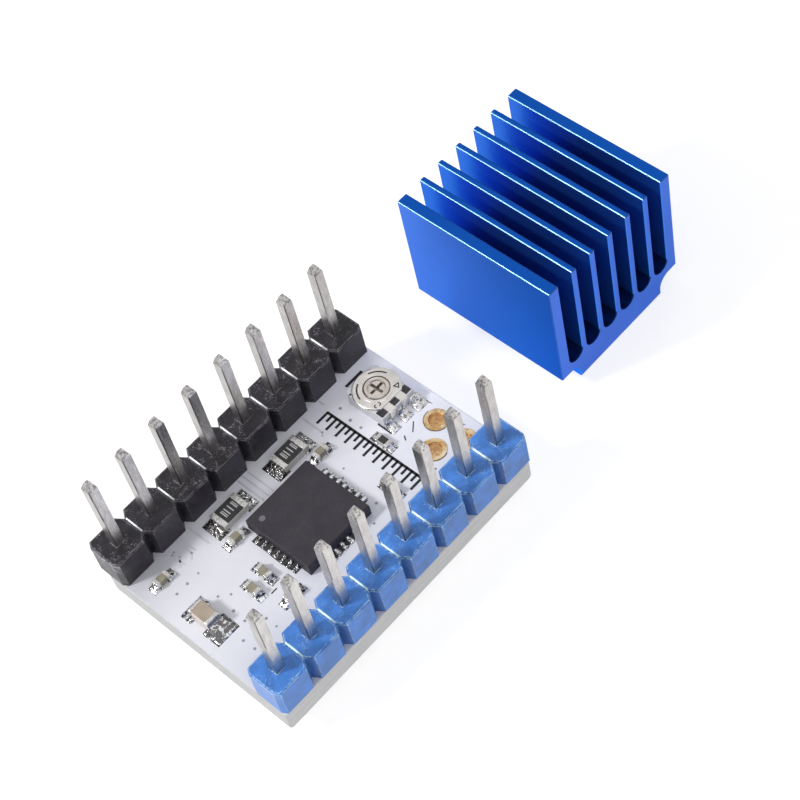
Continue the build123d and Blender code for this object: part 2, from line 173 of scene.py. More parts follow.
def board_look():
    """White solder mask on the two faces, painted lighter towards +X and at one corner as painted light and
    darker at another corner as painted shade, and pale glass laminate on the sides, painted lighter on the -Y
    side as painted light and darker on the -X side as painted shade."""
    look = Look("board_white", Specular_IOR_Level=0.45, Coat_Weight=0.25, Coat_Roughness=0.22)
    cloudy = look.noise(3.5, 3)
    weave = look.noise(0.09, 2)
    up = look.span(look.math("ABSOLUTE", look.normal_part(2)), 0.55, 0.9)
    mask = look.mix(look.span(cloudy, 0.35, 0.7), (0.67, 0.675, 0.73), (0.71, 0.715, 0.765))
    x, y = look.position_part(0), look.position_part(1)
    # painted light: the mask brighter towards +X
    mask = look.shade(mask, look.span(x, 1.5, 8.0, 1.0, 1.08))
    # painted light at the +X, +Y corner and painted shade at the -X, +Y corner
    painted_light_far_corner = look.math("MULTIPLY", look.span(x, 5.0, 8.5), look.span(y, -1.0, 2.0, 0, 0.24))
    painted_shade_near_corner = look.math("MULTIPLY", look.span(x, -8.0, -4.0, 1, 0), look.span(y, 1.5, 4.5, 0, 0.18))
    mask = look.shade(mask, look.math("SUBTRACT", look.math("ADD", 1.0, painted_light_far_corner), painted_shade_near_corner))
    layers = look.noise(0.14, 3, stretch=(14, 14, 1))
    glass = look.mix(look.span(layers, 0.35, 0.65), (0.46, 0.46, 0.465), (0.53, 0.53, 0.53))
    chips = look.span(look.noise(0.25, 4), 0.62, 0.72)
    glass = look.mix(look.math("MULTIPLY", chips, 0.35), glass, (0.64, 0.64, 0.64))
    # painted light on the laminate's -Y side and painted shade on its -X side
    glass = look.shade(glass, look.span(look.normal_part(1), -0.9, -0.3, 1.10, 1.0))
    glass = look.shade(glass, look.span(look.normal_part(0), -0.9, -0.3, 0.84, 1.0))
    colour = look.mix(up, glass, mask)
    rough = look.span(up, 0, 1, 0.72, 0.34)
    rough = look.math("ADD", rough, look.span(cloudy, 0.3, 0.7, -0.05, 0.06))
    return look.done(colour, rough, look.bump(weave, 0.006, 0.5, look.bump(layers, 0.004, 0.25)))


def trace_look():
    look = Look("covered_trace", Specular_IOR_Level=0.45, Coat_Weight=0.25, Coat_Roughness=0.22)
    patchiness = look.noise(0.8, 3)
    colour = look.mix(look.span(patchiness, 0.3, 0.7), (0.50, 0.505, 0.57), (0.60, 0.605, 0.66))
    return look.done(colour, look.span(patchiness, 0.3, 0.7, 0.3, 0.42), look.bump(look.noise(0.09, 2), 0.006, 0.5))


def ink_look(name, dark, light):
    look = Look(name, Specular_IOR_Level=0.35)
    grain = look.noise(0.07, 3, 0.6)
    colour = look.mix(look.span(grain, 0.42, 0.72), dark, light)
    return look.done(colour, look.span(grain, 0.3, 0.7, 0.5, 0.7), look.bump(grain, 0.008, 0.6))


def nylon_look(name, base, pale, scuffs, line, rim, top, swing, tear, roughness):
    """Moulded housing: cloudy resin, fine grain, scuffed top, a torn end face, a painted highlight along the
    top edges and on one wall of each snap groove, and painted shade on the top faces, at the foot of each pin
    and in the notches.

    base is the resin's colour, pale the scuffs', line the painted highlight's in the grooves, and rim both
    the painted highlight's on the edges and the torn end face's. scuffs and tear are how strong the scuffs
    and the torn end face are, top the factor on the top faces' colour (painted shade where it is below 1),
    swing the clouds' contrast and the depth of the painted shade at the pins' feet.
    """
    look = Look(name, Specular_IOR_Level=0.42)
    cloudy = look.noise(0.9, 3)
    grain = look.noise(0.05, 2)
    scratch = look.noise(0.34, 6, 0.74, stretch=(1.2, 1, 1), twist=0.9)
    up = look.span(look.normal_part(2), 0.5, 0.9)
    marks = look.math("MULTIPLY", look.span(scratch, 0.56, 0.68), look.span(up, 0, 1, 0.30, 1.0))
    specks = look.span(look.noise(0.075, 3, 0.6), 0.60, 0.67)
    specks = look.math("MULTIPLY", specks, look.span(up, 0, 1, 0.45, 1.0))
    gathered = look.span(look.noise(0.75, 2), 0.46, 0.60, 0.10, 1.0)
    specks = look.math("MULTIPLY", specks, gathered)
    marks = look.math("MULTIPLY", marks, gathered)
    # painted highlight: broken pale lines along the edges, strongest near the top
    dashes = look.span(look.noise(0.16, 4, 0.65, stretch=(2.5, 1, 1)), 0.42, 0.54)
    painted_rim_highlight = look.math("MULTIPLY", look.edges(0.11, 0.004, 0.06), dashes)
    near_top = look.span(look.position_part(2), HEADER_TOP - 0.5, HEADER_TOP - 0.1, 0.35, 1.0)
    painted_rim_highlight = look.math("MULTIPLY", painted_rim_highlight, near_top)
    colour = look.shade(base, look.span(cloudy, 0.33, 0.67, 1 - swing, 1 + swing))
    # painted shade: the top faces' colour times the factor top
    colour = look.shade(colour, look.span(up, 0, 1, 1.0, top))
    # painted shade at the foot of each pin
    painted_pin_foot_shade = look.math("MULTIPLY", pin_foot(look), look.span(look.noise(0.35, 3, 0.6), 0.35, 0.60))
    colour = look.shade(colour, look.span(painted_pin_foot_shade, 0, 1, 1.0, 1 - swing))
    # the slanting walls of the notches between cells lie in shade
    past_flat = look.span(look.normal_part(0), -0.95, -0.85)
    slant = look.math("MULTIPLY", past_flat, look.span(look.normal_part(0), -0.5, -0.3, 1, 0))
    notch = look.math("MULTIPLY", slant, look.span(look.position_part(0), HEADER_END + 0.9, HEADER_END + 1.2))
    colour = look.shade(colour, look.span(notch, 0, 1, 1.0, 0.60))
    # the end face is torn where the strip was broken off
    end = look.span(look.position_part(0), HEADER_END + 0.1, HEADER_END + 0.5, 1, 0)
    torn = look.span(look.noise(0.30, 5, 0.7), 0.47, 0.56)
    torn = look.math("MULTIPLY", torn, look.math("SUBTRACT", 1.0, up))
    torn = look.math("MULTIPLY", torn, end)
    torn = look.math("MULTIPLY", torn, look.span(look.position_part(2), HEADER_TOP - 1.1, HEADER_TOP - 0.2))
    colour = look.mix(look.math("MULTIPLY", marks, scuffs), colour, pale)
    colour = look.mix(look.math("MULTIPLY", specks, scuffs * 1.3), colour, pale)
    colour = look.mix(look.math("MULTIPLY", painted_rim_highlight, 0.80), colour, rim)
    colour = look.mix(look.math("MULTIPLY", torn, tear), colour, rim)
    # painted highlight on one wall of each snap groove
    colour = look.mix(groove_highlight_mask(look), colour, line)
    rough = look.span(cloudy, 0.3, 0.7, roughness - 0.05, roughness + 0.08)
    rough = look.math("ADD", rough, look.math("MULTIPLY", marks, 0.12))
    bumps = look.bump(grain, 0.004, 0.5, look.bump(scratch, 0.016, 0.45, look.bump(cloudy, 0.05, 0.25)))
    return look.done(colour, rough, bumps)


def pin_foot(look):
    """1 on the housing's top at the foot of each pin, 0 between the pins."""
    across = look.math("SUBTRACT", look.math("FRACT", look.math("DIVIDE", look.position_part(0), PITCH)), 0.5)
    across = look.math("MULTIPLY", across, PITCH)
    along = look.math("SUBTRACT", look.math("ABSOLUTE", look.position_part(1)), ROW_Y)
    squares = look.math("ADD", look.math("POWER", across, 2.0), look.math("POWER", along, 2.0))
    foot = look.span(look.math("SQRT", squares), 0.45, 1.05, 1, 0)
    return look.math("MULTIPLY", foot, look.span(look.position_part(2), HEADER_TOP - 0.3, HEADER_TOP - 0.1))


def groove_highlight_mask(look):
    """1 on the wall of each snap groove that faces the first pin, where a highlight is painted, 0 elsewhere.
    """
    wall = 0.055
    turn = look.math("FRACT", look.math("ADD", look.math("DIVIDE", look.position_part(0), PITCH), 0.5))
    across = look.math("MULTIPLY", look.math("SUBTRACT", turn, 0.5), PITCH)
    off = look.math("ABSOLUTE", look.math("SUBTRACT", across, wall))
    along = look.math("ABSOLUTE", look.math("SUBTRACT", look.math("ABSOLUTE", look.position_part(1)), ROW_Y))
    mask = look.math("MULTIPLY", look.span(off, 0.030, 0.045, 1, 0), look.span(along, 0.62, 0.72, 1, 0))
    mask = look.math("MULTIPLY", mask, look.span(look.position_part(2), HEADER_TOP - 0.12, HEADER_TOP - 0.10))
    inside = look.math("ABSOLUTE", look.position_part(0))
    return look.math("MULTIPLY", mask, look.span(inside, 3.5 * PITCH, 3.6 * PITCH, 1, 0))


def pin_look():
    """Drawn wire, plated: faint lines along it, rougher darker blotches, a dark burr line down some of its
    corners, a dark line down the front face near the -X corner and nicked tips. The -X faces carry painted
    shade, and the front faces painted light in the black row and painted shade in the blue row."""
    look = Look("pin_metal", Metallic=1.0)
    drawn = look.noise(0.06, 3, stretch=(1, 1, 22))
    blotch = look.noise(0.30, 4, 0.6, stretch=(1, 1, 3.0))
    colour = look.mix(look.span(blotch, 0.30, 0.72), (0.56, 0.54, 0.52), (0.77, 0.745, 0.72))
    colour = look.shade(colour, look.span(drawn, 0.3, 0.7, 0.90, 1.05))
    # painted shade: the -X faces darker
    colour = look.shade(colour, look.span(look.normal_part(0), -0.9, -0.3, 0.68, 1.0))
    # painted light and shade: the front faces lighter in the black row, darker in the blue row
    front = look.span(look.normal_part(1), -0.9, -0.3, 1, 0)
    row = look.span(look.position_part(1), -1, 1, 0.92, 1.18)
    row = look.math("MULTIPLY", front, look.math("SUBTRACT", row, 1.0))
    colour = look.shade(colour, look.math("ADD", 1.0, row))
    burr = look.span(look.noise(0.5, 2, stretch=(1, 1, 5)), 0.42, 0.58)
    burr = look.math("MULTIPLY", look.edges(0.045), burr)
    colour = look.mix(look.math("MULTIPLY", burr, 0.75), colour, (0.11, 0.10, 0.11))
    # a dark line down the front face near the pin's -X corner; every pin's middle is half a pitch past a
    # whole one
    across = look.math("FRACT", look.math("DIVIDE", look.position_part(0), PITCH))
    across = look.math("MULTIPLY", across, PITCH)
    corner_line = look.span(across, PITCH / 2 - 0.27, PITCH / 2 - 0.22, 1, 0)
    corner_line = look.math("MULTIPLY", corner_line, look.span(look.noise(0.6, 3, stretch=(1, 1, 5)), 0.34, 0.46))
    corner_line = look.math("MULTIPLY", corner_line, look.span(look.position_part(1), -1, 1, 0.75, 0.85))
    colour = look.mix(look.math("MULTIPLY", corner_line, front), colour, (0.05, 0.05, 0.06))
    tip = look.span(look.normal_part(2), 0.1, 0.3)
    nicks = look.math("MULTIPLY", tip, look.span(look.noise(0.16, 3, 0.6), 0.46, 0.56))
    colour = look.mix(look.math("MULTIPLY", nicks, 0.65), colour, (0.14, 0.14, 0.145))
    rough = look.math("ADD", look.span(blotch, 0.3, 0.7, 0.34, 0.25), look.span(drawn, 0.3, 0.7, -0.04, 0.04))
    return look.done(colour, rough, look.bump(drawn, 0.006, 0.5, look.bump(blotch, 0.02, 0.3)))


def solder_look(name, share, grain, lumps, reflection_colour=(0.07, 0.065, 0.065)):
    """Bright solder with lumps and dark patches, the dark patches a painted reflection of dark surroundings.
    share sets how much of it is dark, grain the size of the lumps and patches, lumps the bump's depth and
    hollow the colour of the painted dark reflection."""
    look = Look(name, Metallic=0.9)
    # painted reflection: the noise that raises the lumps also gives the dark patches, dark surroundings
    # mirrored in the solder
    lumps_and_reflections = look.noise(grain, 3, 0.55, twist=0.8)
    shift = share * 0.2
    dark = look.span(lumps_and_reflections, 0.41 + shift, 0.45 + shift, 1, 0)
    frost = look.noise(0.16, 4, 0.6)
    bright = look.mix(look.span(frost, 0.3, 0.7), (0.74, 0.74, 0.75), (0.95, 0.95, 0.95))
    colour = look.mix(dark, bright, reflection_colour)
    rough = look.span(frost, 0.35, 0.70, 0.12, 0.30)
    return look.done(colour, rough, look.bump(lumps_and_reflections, lumps, 0.8))


def tin_look():
    """Dipped tin on the ends of the chip parts: nearly smooth, with soft stains, a few pits and a painted
    highlight on the edges.
    """
    look = Look("lead_tin", Metallic=0.92)
    stain = look.noise(0.22, 3, 0.55)
    pits = look.span(look.noise(0.11, 3, 0.6), 0.62, 0.70)
    colour = look.mix(look.span(stain, 0.35, 0.65), (0.55, 0.54, 0.52), (0.84, 0.83, 0.81))
    # painted highlight on the edges
    colour = look.mix(look.math("MULTIPLY", look.edges(0.05), 0.5), colour, (0.96, 0.95, 0.93))
    colour = look.mix(pits, colour, (0.10, 0.095, 0.09))
    return look.done(colour, look.span(stain, 0.3, 0.7, 0.22, 0.36), look.bump(stain, 0.03, 0.6))


def gold_look(name, metallic, deep, pale):
    """Gold plate over copper: patches of painted highlight, tarnish, and a dark outline at the edges."""
    look = Look(name, Metallic=metallic)
    tarnish = look.noise(0.42, 4, 0.6)
    # painted highlight: cream patches
    painted_glint = look.span(look.noise(0.22, 3, 0.6, twist=0.6), 0.55, 0.66)
    colour = look.mix(look.span(tarnish, 0.38, 0.62), deep, pale)
    colour = look.mix(look.math("MULTIPLY", painted_glint, 0.6), colour, (0.98, 0.90, 0.72))
    colour = look.mix(look.math("MULTIPLY", look.edges(0.06), 0.55), colour, (0.12, 0.065, 0.025))
    return look.done(colour, look.span(tarnish, 0.3, 0.7, 0.16, 0.36), look.bump(tarnish, 0.03, 0.6))


def chip_look():
    """Dark moulding compound with a fine sandy grain and a painted highlight on its edges."""
    look = Look("chip_plastic", Specular_IOR_Level=0.42)
    grain = look.noise(0.045, 3, 0.6)
    cloudy = look.noise(1.3, 3)
    colour = look.mix(look.span(cloudy, 0.3, 0.7), (0.025, 0.021, 0.029), (0.034, 0.029, 0.038))
    colour = look.shade(colour, look.span(grain, 0.3, 0.7, 0.70, 1.35))
    sand = look.span(look.noise(0.07, 3, 0.65), 0.60, 0.68)
    sand = look.math("MULTIPLY", sand, look.span(cloudy, 0.42, 0.60))
    colour = look.mix(look.math("MULTIPLY", sand, 0.40), colour, (0.14, 0.13, 0.15))
    # painted highlight on the edges
    colour = look.mix(look.math("MULTIPLY", look.edges(0.06), 0.35), colour, (0.16, 0.155, 0.17))
    return look.done(colour, look.span(grain, 0.3, 0.7, 0.50, 0.64), look.bump(grain, 0.010, 0.7))


def dot_look():
    look = Look("chip_dot", Specular_IOR_Level=0.4)
    grain = look.noise(0.05, 3, 0.6)
    colour = look.mix(grain, (0.10, 0.095, 0.11), (0.20, 0.19, 0.21))
    return look.done(colour, look.span(grain, 0.3, 0.7, 0.45, 0.6), look.bump(grain, 0.006, 0.5))


def stamped_look(name, dark, bright, rough, painted_shade=None):
    """Nickel silver, stamped: fine tumbled grain, soft stains and a painted highlight on the edges. Below the
    height grime it is painted dark, as painted shade in the recesses."""
    look = Look(name, Metallic=0.95)
    stain = look.noise(0.55, 4, 0.6)
    grain = look.noise(0.04, 3, 0.65)
    colour = look.mix(look.span(stain, 0.3, 0.7), dark, bright)
    # painted highlight on the edges
    colour = look.mix(look.math("MULTIPLY", look.edges(0.06), 0.5), colour, (0.95, 0.93, 0.90))
    # painted shade: dark below the height grime, in the recesses
    if painted_shade is not None:
        depth = look.span(look.position_part(2), painted_shade - 0.06, painted_shade + 0.04, 0.80, 0)
        depth = look.math("MULTIPLY", depth, look.span(look.noise(0.12, 3, 0.6), 0.35, 0.55, 0.45, 1.0))
        colour = look.mix(depth, colour, (0.115, 0.085, 0.07))
    roughness = look.span(stain, 0.3, 0.7, rough + 0.06, rough - 0.05)
    roughness = look.math("ADD", roughness, look.span(grain, 0.3, 0.7, -0.05, 0.05))
    return look.done(colour, roughness, look.bump(grain, 0.005, 0.6, look.bump(stain, 0.03, 0.3)))


def ceramic_look(name, dark, bright, speck, roughness=0.45, painted_flank=None):
    """Fired ceramic: granular colour with specks. flank is the colour painted on its -X side as painted
    light.
    """
    look = Look(name, Specular_IOR_Level=0.5)
    grain = look.noise(0.06, 4, 0.65)
    cloudy = look.noise(0.5, 2)
    colour = look.mix(look.span(cloudy, 0.3, 0.7), dark, bright)
    colour = look.mix(look.span(grain, 0.56, 0.72, 0, 0.55), colour, speck)
    # painted light: the -X side in the colour flank
    if painted_flank is not None:
        lit_side = look.span(look.normal_part(0), -0.9, -0.2, 1, 0)
        lit_side = look.math("MULTIPLY", lit_side, look.span(grain, 0.3, 0.7, 0.9, 0.5))
        colour = look.mix(lit_side, colour, painted_flank)
    rough = look.span(grain, 0.3, 0.7, roughness, roughness + 0.14)
    return look.done(colour, rough, look.bump(grain, 0.006, 0.6))


def anodised_look():
    """Blue anodised extrusion: faint drawn lines; painted light and shade, with the -X face dark towards -Y
    and low down and light towards +Y and high up, the other upright faces the reverse, the upward faces
    darker and the slots' floors dark; and a painted highlight on the fin edges.
    """
    low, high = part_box("heat_sink")
    low, high = low / MM, high / MM
    slot_end_z, slot_clear_z = 3.0, 3.6
    highlight_none_z, highlight_full_z = 4.0, 5.0
    look = Look("anodised_blue", Metallic=0.90, Specular_Tint=(0.30, 0.50, 1.0, 1))
    lines = look.noise(0.05, 2, stretch=(1, 60, 1))
    grain = look.noise(0.035, 2)
    cloudy = look.noise(4.0, 2)
    side, rise = look.normal_part(0), look.normal_part(2)
    steep = look.math("ABSOLUTE", side)
    colour = look.mix(look.span(cloudy, 0.3, 0.7), (0.085, 0.170, 0.60), (0.105, 0.195, 0.66))
    # painted light and shade: the -X face dark at -Y and low down, light at +Y and high up; other upright
    # faces the reverse
    along = look.span(look.position_part(1), low.y, high.y, 0, 0.80)
    painted_light_gradient = look.math("ADD", along, look.span(look.position_part(2), low.z, high.z, 0, 0.20))
    painted_flank = look.mix(painted_light_gradient, (0.006, 0.088, 0.42), (0.110, 0.230, 0.74))
    slot = look.mix(painted_light_gradient, (0.030, 0.230, 0.88), (0.055, 0.170, 0.66))
    painted_flank = look.mix(look.span(look.position_part(0), low.x + 0.2, low.x + 0.4), painted_flank, slot)
    colour = look.mix(look.span(steep, 0.5, 0.8), colour, painted_flank)
    # painted shade: the upward faces darker
    colour = look.mix(look.span(rise, 0.6, 0.9), colour, (0.008, 0.105, 0.52))
    # painted shade: dark floors low in the slots
    slot_floor_shade = look.span(look.position_part(2), slot_end_z, slot_clear_z, 1, 0)
    slot_floor_shade = look.math("MULTIPLY", look.span(rise, 0.02, 0.15), slot_floor_shade)
    colour = look.mix(look.math("MULTIPLY", slot_floor_shade, 0.9), colour, (0.001, 0.010, 0.070))
    # painted highlight: pale lines on the rounded fin edges, mostly on the -X side and high up, and on other
    # edges
    round_part = look.math("MULTIPLY", look.span(steep, 0.25, 0.45), look.span(rise, 0.25, 0.45))
    patchiness = look.span(look.noise(0.6, 3), 0.30, 0.60, 0.85, 1.0)
    fin_edge_highlight = look.math("MULTIPLY", round_part, patchiness)
    fin_edge_highlight = look.math("MULTIPLY", fin_edge_highlight, look.span(side, -0.1, 0.1, 0.80, 0.25))
    fin_edge_highlight = look.math("MULTIPLY", fin_edge_highlight, look.span(look.position_part(2), highlight_none_z, highlight_full_z))
    corner = look.math("MULTIPLY", look.edges(0.05, 0.06, 0.35), look.span(slot_floor_shade, 0, 0.2, 0.30, 0))
    colour = look.mix(look.math("MAXIMUM", fin_edge_highlight, corner), colour, (0.30, 0.56, 0.86))
    rough = look.math("ADD", look.span(grain, 0.3, 0.7, 0.30, 0.38), look.span(cloudy, 0.3, 0.7, -0.03, 0.03))
    rough = look.math("ADD", rough, look.math("MULTIPLY", slot_floor_shade, 0.25))
    return look.done(colour, rough, look.bump(lines, 0.0008, 0.4, look.bump(grain, 0.002, 0.5)))


def tape_look():
    look = Look("thermal_tape", Specular_IOR_Level=0.3)
    fibre = look.noise(0.12, 4, 0.6)
    colour = look.mix(fibre, (0.66, 0.72, 0.80), (0.86, 0.89, 0.93))
    return look.done(colour, look.span(fibre, 0.3, 0.7, 0.6, 0.8), look.bump(fibre, 0.02, 0.5))


looks = {
    "board_white": board_look(),
    "gold_plating": gold_look("gold_plating", 0.95, (0.66, 0.40, 0.15), (0.97, 0.80, 0.52)),
    "header_black": nylon_look(
        "header_black", base=(0.024, 0.020, 0.029), pale=(0.40, 0.38, 0.42), scuffs=0.60,
        line=(0.95, 0.95, 0.97), rim=(0.32, 0.305, 0.335), top=0.58, swing=0.48, tear=0.90, roughness=0.38),
    "header_blue": nylon_look(
        "header_blue", base=(0.050, 0.190, 0.580), pale=(0.38, 0.66, 1.0), scuffs=0.42,
        line=(0.62, 0.86, 1.0), rim=(0.60, 0.86, 1.0), top=1.0, swing=0.20, tear=0.12, roughness=0.34),
    "pin_metal": pin_look(),
    "solder": solder_look("solder", 0.20, 0.16, 0.05),
    "chip_plastic": chip_look(),
    "silicon": ceramic_look("silicon", (0.20, 0.20, 0.23), (0.28, 0.28, 0.31), (0.36, 0.36, 0.40), 0.2),
    "lead_tin": tin_look(),
    "trimmer_ceramic": ceramic_look("trimmer_ceramic", (0.60, 0.60, 0.63), (0.68, 0.68, 0.71),
                                    (0.50, 0.50, 0.53), 0.40),
    "resistive_film": ceramic_look("resistive_film", (0.018, 0.016, 0.018), (0.030, 0.027, 0.030),
                                   (0.06, 0.06, 0.06)),
    "trimmer_steel": stamped_look("trimmer_steel", (0.74, 0.70, 0.66), (0.92, 0.89, 0.86), 0.28),
    # the rotor is painted dark low in its slots, as painted shade
    "rotor_steel": stamped_look("rotor_steel", (0.62, 0.55, 0.50), (0.86, 0.80, 0.75), 0.24,
                                painted_shade=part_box("trimmer_rotor")[1].z / MM - 0.14),
    "resistor_coat": ceramic_look("resistor_coat", (0.016, 0.016, 0.018), (0.028, 0.027, 0.030),
                                  (0.06, 0.06, 0.065), 0.32),
    "ceramic_white": ceramic_look("ceramic_white", (0.46, 0.45, 0.42), (0.58, 0.57, 0.54),
                                  (0.36, 0.35, 0.33)),
    # the tan capacitor's -X side is painted lighter, as painted light
    "ceramic_tan": ceramic_look("ceramic_tan", (0.33, 0.27, 0.205), (0.41, 0.34, 0.265),
                                (0.26, 0.21, 0.165), painted_flank=(0.78, 0.69, 0.66)),
    "ceramic_olive": ceramic_look("ceramic_olive", (0.22, 0.20, 0.145), (0.32, 0.295, 0.22),
                                  (0.13, 0.115, 0.08)),
    "anodised_blue": anodised_look(),
    "thermal_tape": tape_look(),
}
extra_looks = {
    "trace": trace_look(),
    "ink": ink_look("silk_ink", (0.010, 0.010, 0.012), (0.035, 0.035, 0.04)),
    "mark": ink_look("coat_mark", (0.46, 0.46, 0.46), (0.66, 0.66, 0.65)),
    "dot": dot_look(),
    "via": ink_look("via_mouth", (0.24, 0.24, 0.30), (0.40, 0.40, 0.46)),
    # painted reflection and light: these solder copies differ in how much painted dark reflection they carry
    "shaded_solder": solder_look("shaded_solder", 0.70, 0.12, 0.04),
    "flecked_solder": solder_look("flecked_solder", 0.56, 0.22, 0.05, (0.17, 0.165, 0.17)),
    "lead_solder": solder_look("lead_solder", 0.16, 0.12, 0.03),
    "lit_solder": solder_look("lit_solder", -0.20, 0.20, 0.02),
    "tab_solder": solder_look("tab_solder", 0.10, 0.17, 0.04, (0.26, 0.25, 0.26)),
    "gold_wall": gold_look("gold_wall", 0.55, (0.56, 0.29, 0.085), (0.84, 0.56, 0.24)),
    # painted shadow at the edge of the plated holes' pads
    "painted_shade": ink_look("pad_shadow", (0.10, 0.06, 0.03), (0.28, 0.19, 0.10)),
    "dark_gaps": ink_look("dark_pad_gaps", (0.030, 0.028, 0.030), (0.10, 0.095, 0.10)),
}

for part in frame["record"]["subparts"]:
    obj = nodes[part["node"]]
    obj.data.materials.clear()
    obj.data.materials.append(looks[part["material_slot"]])


# ---- mesh helpers (millimetres in, metres out) ---------------------------------------------------
ink_low, ink_high = TOP + 0.001, TOP + 0.02


class Pieces:
    """Collects closed shapes into one mesh object."""

    def __init__(self):
        self.bm = bmesh.new()

    def prism(self, outline, low, high):
        """An upright prism on the outline, from height low to height high."""
        n = len(outline)
        lower = [self.bm.verts.new((x * MM, y * MM, low * MM)) for x, y in outline]
        upper = [self.bm.verts.new((x * MM, y * MM, high * MM)) for x, y in outline]
        self.bm.faces.new(list(reversed(lower)))
        self.bm.faces.new(upper)
        for i in range(n):
            j = (i + 1) % n
            self.bm.faces.new((lower[i], lower[j], upper[j], upper[i]))

    def ring_part(self, outline, low, high):
        """A flat bent strip: the outline's first half runs along one side, its second half back along the
        other."""
        half = len(outline) // 2
        for i in range(half - 1):
            j = len(outline) - 1 - i
            self.prism([outline[i], outline[i + 1], outline[j - 1], outline[j]], low, high)

    def stroke(self, a, b, width, low, high):
        """A straight bar from a to b."""
        along = (Vector(b) - Vector(a)).normalized() * width / 2
        side = Vector((-along.y, along.x))
        a, b = Vector(a), Vector(b)
        outline = [a - side - along * 0.5, b - side + along * 0.5,
                   b + side + along * 0.5, a + side - along * 0.5]
        self.prism([tuple(p) for p in outline], low, high)

    def disc(self, x, y, radius, low, high, sides=16):
        turns = [math.tau * i / sides for i in range(sides)]
        self.prism([(x + radius * math.cos(a), y + radius * math.sin(a)) for a in turns], low, high)

    def lathe(self, x, y, profile, sides=40):
        """A closed ring: the profile's (radius, height) points, turned about an upright axis at x, y."""
        rings = []
        for i in range(sides):
            c, s = math.cos(math.tau * i / sides), math.sin(math.tau * i / sides)
            points = [((x + r * c) * MM, (y + r * s) * MM, z * MM) for r, z in profile]
            rings.append([self.bm.verts.new(point) for point in points])
        for i in range(sides):
            a, b = rings[i], rings[(i + 1) % sides]
            for k in range(len(profile)):
                m = (k + 1) % len(profile)
                self.bm.faces.new((a[k], a[m], b[m], b[k]))

    def blob(self, place, length, width, height, steps):
        """A closed lump of solder on the board. place is (x, y, turn in degrees), and height(u, v) gives
        millimetres above the board, with u from 0 to 1 along the length and v from -1 to 1 across."""
        x0, y0, turn = place
        c, s = math.cos(math.radians(turn)), math.sin(math.radians(turn))
        nu, nv = steps
        grids = []
        for level in (0, 1):
            grid = []
            for i in range(nu + 1):
                row = []
                for j in range(nv + 1):
                    u, v = i / nu, 2 * j / nv - 1
                    px, py = u * length, v * width / 2
                    x, y = x0 + px * c - py * s, y0 + px * s + py * c
                    z = TOP + (height(u, v) if level else 0.0)
                    row.append(self.bm.verts.new((x * MM, y * MM, z * MM)))
                grid.append(row)
            grids.append(grid)
        low, high = grids
        for i in range(nu):
            for j in range(nv):
                self.bm.faces.new((high[i][j], high[i + 1][j], high[i + 1][j + 1], high[i][j + 1]))
                self.bm.faces.new((low[i][j], low[i][j + 1], low[i + 1][j + 1], low[i + 1][j]))
        ring = [(i, 0) for i in range(nu)] + [(nu, j) for j in range(nv)] + \
               [(i, nv) for i in range(nu, 0, -1)] + [(0, j) for j in range(nv, 0, -1)]
        for k, (i, j) in enumerate(ring):
            m, n = ring[(k + 1) % len(ring)]
            self.bm.faces.new((low[i][j], low[m][n], high[m][n], high[i][j]))

    def make(self, name, body, material, smooth=False):
        bmesh.ops.recalc_face_normals(self.bm, faces=self.bm.faces)
        mesh = bpy.data.meshes.new(name)
        self.bm.to_mesh(mesh)
        self.bm.free()
        if smooth:
            mesh.polygons.foreach_set("use_smooth", [True] * len(mesh.polygons))
        mesh.materials.append(material)
        obj = bpy.data.objects.new(name, mesh)
        bpy.context.scene.collection.objects.link(obj)
        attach(obj, body)


def middle(node):
    low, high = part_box(node)
    return (low + high) / 2 / MM


def arc_outline(x, y, radius, width, centre, span, steps=16):
    """Outline of an arc strip round x, y; centre and span in degrees."""
    angles = [math.radians(centre + span * (i / steps - 0.5)) for i in range(steps + 1)]
    outer, inner = radius + width / 2, radius - width / 2
    there = [(x + outer * math.cos(a), y + outer * math.sin(a)) for a in angles]
    back = [(x + inner * math.cos(a), y + inner * math.sin(a)) for a in reversed(angles)]
    return there + back


def wobble(x, y, z, size=0.3):
    """Smooth noise from about -1 to 1; size is the width of a bump in x and y."""
    return noise.noise(Vector((x / size, y / size, z)))


def pillow(v, power=4):
    """1 in the middle, 0 at both sides."""
    return 1 - abs(v) ** power


# ---- solder round the chip parts ----------------------------------------------------------------
def fillet_height(rise, foot, seed):
    """Concave solder slope: high against the part, low at the pad's far end, with lumps."""
    def height(u, v):
        slope = (1 - u) ** 2.1
        edge = min(1.0, pillow(v, 6) + 0.02) * (1 - u ** 8)
        lump = 0.35 * foot * wobble(u * 1.2 + seed, v * 0.6, seed)
        return max(0.012, (foot + lump + (rise - foot) * slope) * edge ** 0.5)
    return height


def end_joints(solder, name, length, width, pad_end, pad_width, rise, foot, sides=(0, 180)):
    """Solder at the ends of a chip part that is length by width. The pads are pad_width wide and end at
    pad_end from its middle. The solder is rise high against the part and foot high at the pad's far end.
    sides says which ends get it, in degrees from the part's long axis."""
    low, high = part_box(name)
    x, y, _ = middle(name)
    turn = 0 if high.x - low.x > high.y - low.y else 90
    overlap, tongue, film, lip = 0.02, 0.30, 0.03, 0.05

    def beside(u, v):
        """The thin solder under the part's end, thicker where it comes out at the sides."""
        return film + (lip if abs(v) * pad_width > width else 0) * pillow(v, 6)

    for side in sides:
        c, s = math.cos(math.radians(turn + side)), math.sin(math.radians(turn + side))
        start, under = length / 2 - overlap, length / 2 - tongue
        solder.blob((x + start * c, y + start * s, turn + side), pad_end - start, pad_width,
                    fillet_height(rise, foot, x * 1.7 + y + side), (10, 10))
        solder.blob((x + under * c, y + under * s, turn + side), tongue + overlap, pad_width, beside, (3, 12))


